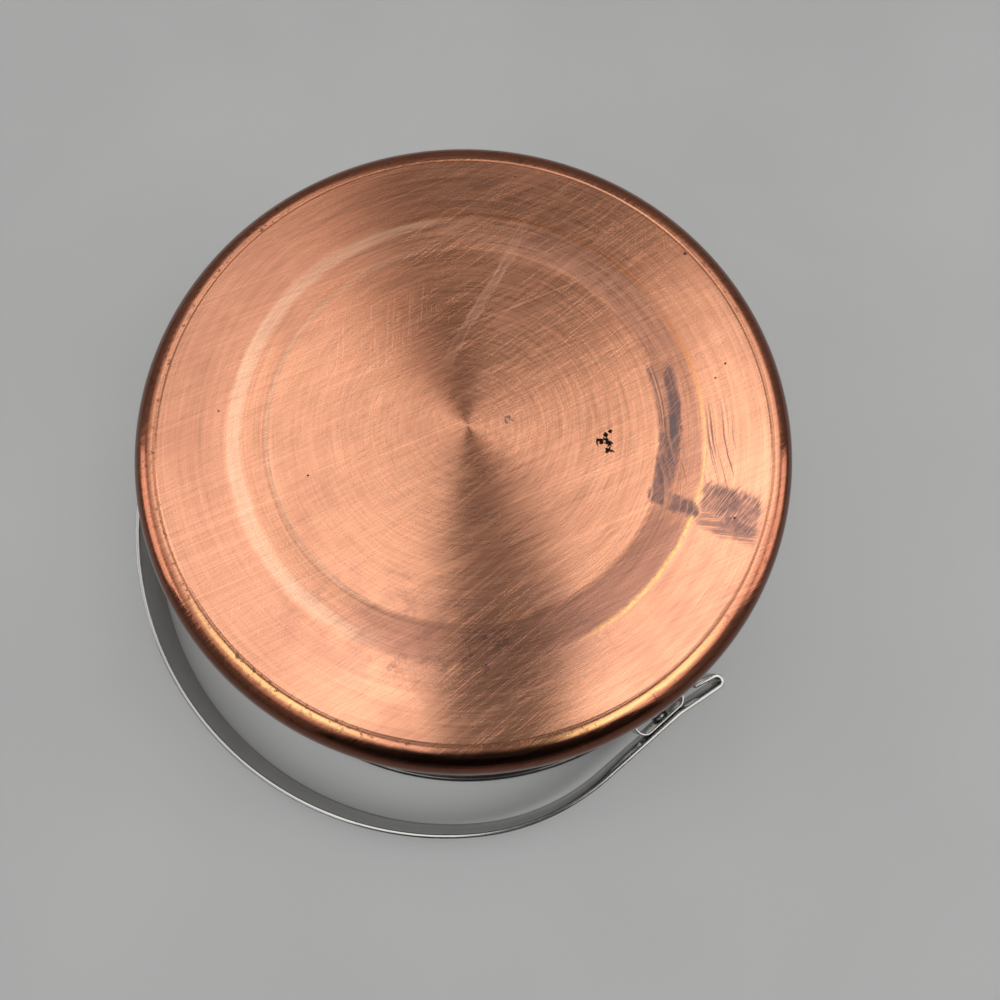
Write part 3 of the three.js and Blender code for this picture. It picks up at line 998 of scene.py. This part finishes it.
def base_line(pot, foot, depth=0.0, grooved=False):
    """The base from its middle, over the corner and down the wall to the height of its foot."""
    start = pot.disc - DISH_MARGIN
    dish = dish_points(pot, depth, [start * k / DISH_STEPS for k in range(DISH_STEPS + 1)])
    corners = [(*dish[-1], 0.0), *base_corners(pot, depth, grooved), (pot.base_radius - depth, foot, 0.0)]
    return dish[:-1] + rounded(corners)


def turned_piece(name, outline):
    """A piece spun about the pot's axis from its outline."""
    piece = draw_line(name, [AXIS + Vector((point.x, 0.0, point.y)) for point in outline])
    spin_round(AXIS, (0, 0, 1), ROUND_STEPS)
    settle(piece)
    return piece


class POT_OT_copper_base(bpy.types.Operator):
    """Model the copper skin with the relief of the base, its corner and its short wall"""

    bl_idname = "pot.copper_base"
    bl_label = "Copper base"

    def execute(self, context):
        pot = context.scene.pot_sizes
        edge = pot.copper_edge
        outside = base_line(pot, edge + pot.copper, grooved=True)
        inside = base_line(pot, edge, depth=pot.copper)
        lip = rounded([
            (pot.base_radius, edge + pot.copper, 0.0),
            (pot.base_radius, edge, COPPER_LIP),
            (pot.base_radius - pot.copper, edge, 0.0),
        ])
        piece = turned_piece("copper_base_piece", outside + lip[1:-1] + inside[::-1])
        material = copper_material(context.scene.pot_finish, pot)
        dress(piece, "copper_base", "pot", material)
        return {"FINISHED"}


class POT_OT_steel_body(bpy.types.Operator):
    """Model the spun steel body with its flared lip and rolled edge"""

    bl_idname = "pot.steel_body"
    bl_label = "Steel body"

    def execute(self, context):
        pot = context.scene.pot_sizes
        skin = pot.copper + pot.seat_gap
        lip = pot.steel
        roll_centre = pot.rim_radius - pot.roll
        outside = base_line(pot, 2 * pot.flare, depth=skin)
        neck = rounded([
            (pot.wall, 2 * pot.flare, 0.0),
            (pot.wall, lip, pot.flare),
            (roll_centre - pot.roll, lip, 0.0),
        ])
        edge = arc(roll_centre, pot.roll, pot.roll, ROLL_START, ROLL_END)
        throat = rounded([
            (roll_centre, 0.0, 0.0),
            (pot.wall - pot.steel, 0.0, pot.flare + pot.steel),
            (pot.wall - pot.steel, 2 * pot.flare, 0.0),
        ])
        inside = base_line(pot, 2 * pot.flare, depth=skin + pot.steel)
        outline = outside + neck[1:] + edge + throat[1:-1] + inside[::-1]
        piece = turned_piece("pot_shell_piece", outline)
        finish = context.scene.pot_finish
        # The rolled edge gets a painted dark reflection and shade
        painted_rim_reflection = {"radius": pot.rim_radius, "colour": finish.rim_dark_reflection}
        material = steel_material(
            "spun_steel", finish.steel, finish.grime, gloss=0.2, fineness=1400.0, stretch=0.5, painted_rim_reflection=painted_rim_reflection
        )
        dress(piece, "pot_shell", "pot", material)
        return {"FINISHED"}


# The handle, its ears and its rivets, each drawn about the pivot, with the roundings of a rivet's heads

INNER_ROUND, SEAT_ROUND = 1.2 * MM, 0.1 * MM
HEAD_EDGE, HEAD_INSET = 0.25 * MM, 0.3 * MM


def select_near(piece, place):
    """Selects the points of a ribbon that stand over one place of its line."""
    bpy.ops.mesh.select_all(action="DESELECT")
    mesh = bmesh.from_edit_mesh(piece.data)
    for vertex in mesh.verts:
        vertex.select = (vertex.co.xy - place.xy).length < MERGE_DISTANCE * 10
    mesh.select_flush_mode()
    bmesh.update_edit_mesh(piece.data)


class POT_OT_ears(bpy.types.Operator):
    """Model the two saddle ears: feet curved to the wall, legs and a drilled flat"""

    bl_idname = "pot.ears"
    bl_label = "Ears"

    def execute(self, context):
        pot = context.scene.pot_sizes
        handle = context.scene.pot_handle
        flat = handle.ear_face - handle.ear_thickness / 2
        foot = pot.wall + pot.seat_gap + handle.ear_thickness / 2
        leg = handle.ear_length / 2 - handle.ear_thickness / 2
        rise = math.asin((leg + handle.ear_foot_bend) / (foot + handle.ear_foot_bend))
        foot_turn = math.asin(handle.ear_foot / foot) - rise
        leg_start = (foot + handle.ear_foot_bend) * math.cos(rise)
        quarter = math.pi / 2

        pen = Pen("ear", (flat, 0, 0), quarter)
        pen.run(handle.shank * 2)
        pen.run(leg - handle.ear_bend - handle.shank * 2)
        pen.bend(quarter, handle.ear_bend, steps=14)
        pen.run(flat - handle.ear_bend - leg_start)
        pen.bend(rise - quarter, handle.ear_foot_bend, steps=10)
        pen.bend(foot_turn, foot, steps=1)
        raise_strip(handle.ear_width)
        select_near(pen.piece, pen.place)
        bpy.ops.mesh.bevel(offset=handle.ear_foot_corner, segments=FOOT_CORNER_STEPS, affect="VERTICES")
        finish_strip(pen.piece, "Y", handle.ear_thickness, handle.ear_edge)
        drill(pen.piece, handle.shank + pot.seat_gap, pot.rim_radius * 2)
        pieces = settle_both(pen.piece, "bail_ear")
        finish = context.scene.pot_finish
        material = steel_material("pressed_steel", finish.strap, finish.grime, gloss=0.22, fineness=700.0)
        for side, piece in pieces.items():
            dress(piece, f"bail_ear_{side}", "pot", material)
        return {"FINISHED"}


class POT_OT_bail(bpy.types.Operator):
    """Model the strap handle: crown, shoulders, drilled legs and tails folded back"""

    bl_idname = "pot.bail"
    bl_label = "Bail"

    def execute(self, context):
        pot = context.scene.pot_sizes
        handle = context.scene.pot_handle
        middle = handle.ear_face + pot.seat_gap + handle.thickness / 2
        turn = handle.crown_turn
        crown = handle.shoulder + (middle - handle.shoulder) / math.sin(turn)
        leg = handle.reach - crown + (crown - handle.shoulder) * math.cos(turn)
        reach = handle.reach + handle.thickness / 2
        rest = PIVOT.z - handle.table_gap
        tilt = math.asin(rest / math.hypot(reach, handle.width / 2)) - math.atan2(handle.width / 2, reach)

        pen = Pen("bail", (0, -handle.reach, 0), 0.0)
        pen.bend(turn, crown, steps=30)
        pen.bend(math.pi / 2 - turn, handle.shoulder, steps=18)
        pen.run(leg - 3 * handle.shank)
        pen.run(3 * handle.shank + handle.tail_straight)
        pen.bend(-handle.tail_lean, handle.tail_bend, steps=4)
        pen.run(handle.tail)
        pen.bend(handle.fold_turn, handle.fold, steps=24)
        pen.run(handle.fold_return)
        raise_strip(handle.width)
        finish_strip(pen.piece, "X", handle.thickness, handle.edge)
        drill(pen.piece, handle.shank + pot.seat_gap, pot.rim_radius * 2)
        pen.piece.name = "bail_piece"
        settle(pen.piece, PIVOT, (tilt, 0, 0))
        finish = context.scene.pot_finish
        material = steel_material(
            "polished_strap", finish.strap, finish.grime, gloss=0.13, fineness=900.0, turn=(-tilt, 0, 0)
        )
        dress(pen.piece, "bail", "bail", material)
        return {"FINISHED"}


class POT_OT_rivets(bpy.types.Operator):
    """Model the two rivets: a low domed head outside the strap and a formed head inside the ear"""

    bl_idname = "pot.rivets"
    bl_label = "Rivets"

    def execute(self, context):
        pot = context.scene.pot_sizes
        handle = context.scene.pot_handle
        inner_seat = handle.ear_face - handle.ear_thickness - pot.seat_gap
        outer_seat = handle.ear_face + 2 * pot.seat_gap + handle.thickness
        dome = (handle.outer_head ** 2 + handle.outer_rise ** 2) / (2 * handle.outer_rise)
        swing = math.asin((handle.outer_head - HEAD_INSET) / dome)
        corners = [
            (0.0, inner_seat - handle.inner_rise, 0.0),
            (handle.inner_head, inner_seat - handle.inner_rise, INNER_ROUND),
            (handle.inner_head, inner_seat, SEAT_ROUND),
            (handle.shank, inner_seat, 0.0),
            (handle.shank, outer_seat, 0.0),
            (handle.outer_head, outer_seat, SEAT_ROUND),
            (handle.outer_head, outer_seat + HEAD_EDGE, 0.0),
        ]
        top = outer_seat + handle.outer_rise
        turns = [swing * (1 - k / DOME_STEPS) for k in range(DOME_STEPS + 1)]
        cap = [Vector((dome * math.sin(turn), top - dome * (1 - math.cos(turn)))) for turn in turns]
        outline = rounded(corners) + cap
        piece = draw_line("rivet", [Vector((point.y, point.x, 0.0)) for point in outline])
        spin_round((0, 0, 0), (1, 0, 0), RIVET_STEPS)
        pieces = settle_both(piece, "bail_rivet")
        finish = context.scene.pot_finish
        material = steel_material("rivet_steel", finish.strap, finish.grime, gloss=0.24, fineness=500.0)
        for side, made in pieces.items():
            dress(made, f"bail_rivet_{side}", "pot", material)
        return {"FINISHED"}


# The stage: floor, wall, room, cards, softboxes and camera

STRIP_EDGE = (0.6, 1.45)
LEFT_SPAN = (-0.42, -0.24)
WINDOW_RISE = (0.68, 0.84)
WALL_STEPS = 96
WALL_SHARE = 0.48
SENSOR_WIDTH = 36.0
CLIP_START = 0.01


def floor_material(finish):
    """A pale table with a faint unevenness."""
    material, graph, shader = new_material("pale_table")
    cloud = graph.noise(graph.centred(), 5.0, detail=3.0)
    darker = rgba([0.93 * part for part in finish.floor])
    tone = graph.mix(graph.ramp(cloud, 0.3, 0.7), darker, rgba(finish.floor))
    graph.feed(shader.inputs["Base Color"], tone)
    graph.feed(shader.inputs["Roughness"], graph.ramp(cloud, 0.3, 0.7, 0.5, 0.6))
    shader.inputs["Specular IOR Level"].default_value = 0.35
    return material


def matt_material(name, tint, glow_tint, glow):
    """A matt surface with a glow of its own, for cards and the wall."""
    material, _, shader = new_material(name)
    shader.inputs["Base Color"].default_value = rgba(tint)
    shader.inputs["Roughness"].default_value = 0.9
    shader.inputs["Emission Color"].default_value = rgba(glow_tint)
    shader.inputs["Emission Strength"].default_value = glow
    return material


def set_stage_piece(name, material, hidden_from=()):
    """Names the piece just added, gives it its material and hides it from some kinds of ray."""
    piece = bpy.context.object
    piece.name = name
    piece.data.materials.append(material)
    for ray in hidden_from:
        setattr(piece, f"visible_{ray}", False)


def set_floor_and_wall(studio, finish):
    """A pale floor, and a pale round wall behind everything that only the camera sees."""
    bpy.ops.object.select_all(action="DESELECT")
    bpy.ops.mesh.primitive_plane_add(size=studio.floor_size, location=(0, 0, -studio.floor_drop))
    set_stage_piece("floor", floor_material(finish))
    bpy.ops.object.select_all(action="DESELECT")
    bpy.ops.mesh.primitive_cylinder_add(
        vertices=WALL_STEPS, radius=studio.floor_size * WALL_SHARE, depth=studio.floor_size,
        end_fill_type="NOTHING",
    )
    material = matt_material("pale_wall", finish.wall, finish.wall, studio.wall_glow)
    set_stage_piece("backdrop", material, ("diffuse", "glossy", "shadow"))


def room_world(studio, aside, ahead):
    """A soft room, even near the horizon, with two windows overhead and a dim strip that widens ahead."""
    world = bpy.data.worlds.new("soft_room")
    world.use_nodes = True
    world.node_tree.nodes.clear()
    graph = Graph(world.node_tree)
    toward = graph.add("ShaderNodeTexCoord").outputs["Generated"]
    across = graph.vector("DOT_PRODUCT", toward, tuple(aside)).outputs["Value"]
    across = graph.math("SUBTRACT", across, studio.strip_shift)
    along = graph.math("MAXIMUM", graph.vector("DOT_PRODUCT", toward, tuple(ahead)).outputs["Value"], 0.0)
    strip = graph.sum(studio.strip_width, graph.times(along, studio.strip_flare))
    window = graph.ramp(graph.math("DIVIDE", graph.math("ABSOLUTE", across), strip), *STRIP_EDGE)
    bright = graph.times(graph.ramp(across, *LEFT_SPAN, studio.left_fade, 1.0), studio.window)
    above = graph.sum(graph.times(window, graph.math("SUBTRACT", bright, studio.overhead)), studio.overhead)
    rise = graph.ramp(graph.split(toward)[2], *WINDOW_RISE)
    strength = graph.sum(graph.times(rise, graph.math("SUBTRACT", above, studio.sky)), studio.sky)
    dim = graph.times(rise, graph.math("SUBTRACT", 1.0, window))
    tint = graph.mix(dim, (1.0, 1.0, 1.0, 1.0), rgba(studio.strip_tint))
    back = graph.add("ShaderNodeBackground", {"Color": tint, "Strength": strength})
    graph.add("ShaderNodeOutputWorld", {"Surface": back.outputs[0]})
    bpy.context.scene.world = world


def dark_card(name, place, facing, upward, size, material):
    """A dark card that only reflections show."""
    bpy.ops.object.select_all(action="DESELECT")
    bpy.ops.mesh.primitive_plane_add(size=1.0, location=place)
    card = bpy.context.object
    across = upward.cross(facing).normalized()
    card.rotation_mode = "QUATERNION"
    card.rotation_quaternion = Matrix((across, facing.cross(across), facing)).transposed().to_quaternion()
    card.scale = (*size, 1.0)
    set_stage_piece(name, material, ("camera", "diffuse", "shadow"))


def set_cards(studio, finish, eye, aside, front):
    """One card stands in front of the pot and one lies above it, beside the camera."""
    stand = AXIS + front * studio.card_distance + aside * studio.card_shift
    stand += UP * (studio.card_lift + studio.card_height / 2)
    black = matt_material("front_card", finish.card, finish.glow, 0.0)
    dark_card("front_card", stand, -front, UP, (studio.card_width, studio.card_height), black)
    roof = eye + front * studio.roof_ahead + aside * studio.roof_shift + UP * studio.roof_rise
    dim = matt_material("roof_card", finish.card, finish.glow, studio.roof_glow)
    dark_card("roof_card", roof, -UP, front, (studio.roof_width, studio.roof_length), dim)


def set_softboxes(studio, aside):
    """A square area lamp on either side, with its brightness as seen in a mirror."""
    size = studio.softbox_size
    aim = AXIS + UP * studio.softbox_aim
    for name, side in (("softbox_left", -1), ("softbox_right", 1)):
        lamp = bpy.data.lights.new(name, "AREA")
        lamp.shape = "SQUARE"
        lamp.size = size
        lamp.energy = getattr(studio, name) * math.pi * size * size
        box = bpy.data.objects.new(name, lamp)
        bpy.context.scene.collection.objects.link(box)
        box.location = aim + aside * side * studio.softbox_aside + UP * studio.softbox_rise
        box.rotation_mode = "QUATERNION"
        box.rotation_quaternion = (aim - box.location).to_track_quat("-Z", "Y")
        box.visible_camera = False


def set_camera(scene, studio, eye, view):
    """The camera at its place, looking the way given."""
    lens = bpy.data.cameras.new("camera")
    lens.lens = studio.lens
    lens.sensor_width = SENSOR_WIDTH
    lens.clip_start = CLIP_START
    camera = bpy.data.objects.new("camera", lens)
    scene.collection.objects.link(camera)
    camera.location = eye
    camera.rotation_mode = "QUATERNION"
    camera.rotation_quaternion = view
    scene.camera = camera


class POT_OT_stage(bpy.types.Operator):
    """Set the pale floor, the soft light and the camera"""

    bl_idname = "pot.stage"
    bl_label = "Stage"

    def execute(self, context):
        scene = context.scene
        studio, finish = scene.pot_studio, scene.pot_finish
        eye = Vector(studio.camera)
        view = (Vector(studio.target) - eye).to_track_quat("-Z", "Y") @ Quaternion(UP, studio.roll)
        right = view @ Vector((1, 0, 0))
        aside = Vector((right.x, right.y, 0)).normalized()
        front = Vector((aside.y, -aside.x, 0.0))
        set_floor_and_wall(studio, finish)
        room_world(studio, aside, -front)
        set_cards(studio, finish, eye, aside, front)
        set_softboxes(studio, aside)
        set_camera(scene, studio, eye, view)
        scene.view_settings.view_transform = "Standard"
        return {"FINISHED"}


class POT_PT_sidebar(bpy.types.Panel):
    """Lists the pieces of the pot and the sizes that a user would change"""

    bl_idname = "POT_PT_sidebar"
    bl_label = "Pot"
    bl_space_type = "VIEW_3D"
    bl_region_type = "UI"
    bl_category = "Pot"

    def draw(self, context):
        for operator in OPERATORS:
            self.layout.operator(operator.bl_idname)
        for name, kind in SETTINGS.items():
            box = self.layout.box()
            for setting in kind.__annotations__:
                box.prop(getattr(context.scene, name), setting)


OPERATORS = (
    POT_OT_stage, POT_OT_copper_base, POT_OT_steel_body, POT_OT_ears, POT_OT_rivets, POT_OT_bail,
)
SETTINGS = {
    "pot_sizes": PotSizes, "pot_handle": HandleSizes, "pot_finish": PotFinish, "pot_studio": PotStudio,
}


def register():
    for settings in SETTINGS.values():
        bpy.utils.register_class(settings)
    for name, settings in SETTINGS.items():
        setattr(bpy.types.Scene, name, bpy.props.PointerProperty(type=settings))
    for made in (*OPERATORS, POT_PT_sidebar):
        bpy.utils.register_class(made)


def unregister():
    for made in reversed((*OPERATORS, POT_PT_sidebar)):
        bpy.utils.unregister_class(made)
    for name, settings in SETTINGS.items():
        delattr(bpy.types.Scene, name)
        bpy.utils.unregister_class(settings)


def main():
    register()
    bpy.ops.pot.stage()
    bpy.ops.pot.copper_base()
    bpy.ops.pot.steel_body()
    bpy.ops.pot.ears()
    bpy.ops.pot.rivets()
    bpy.ops.pot.bail()


if __name__ == "__main__":
    main()
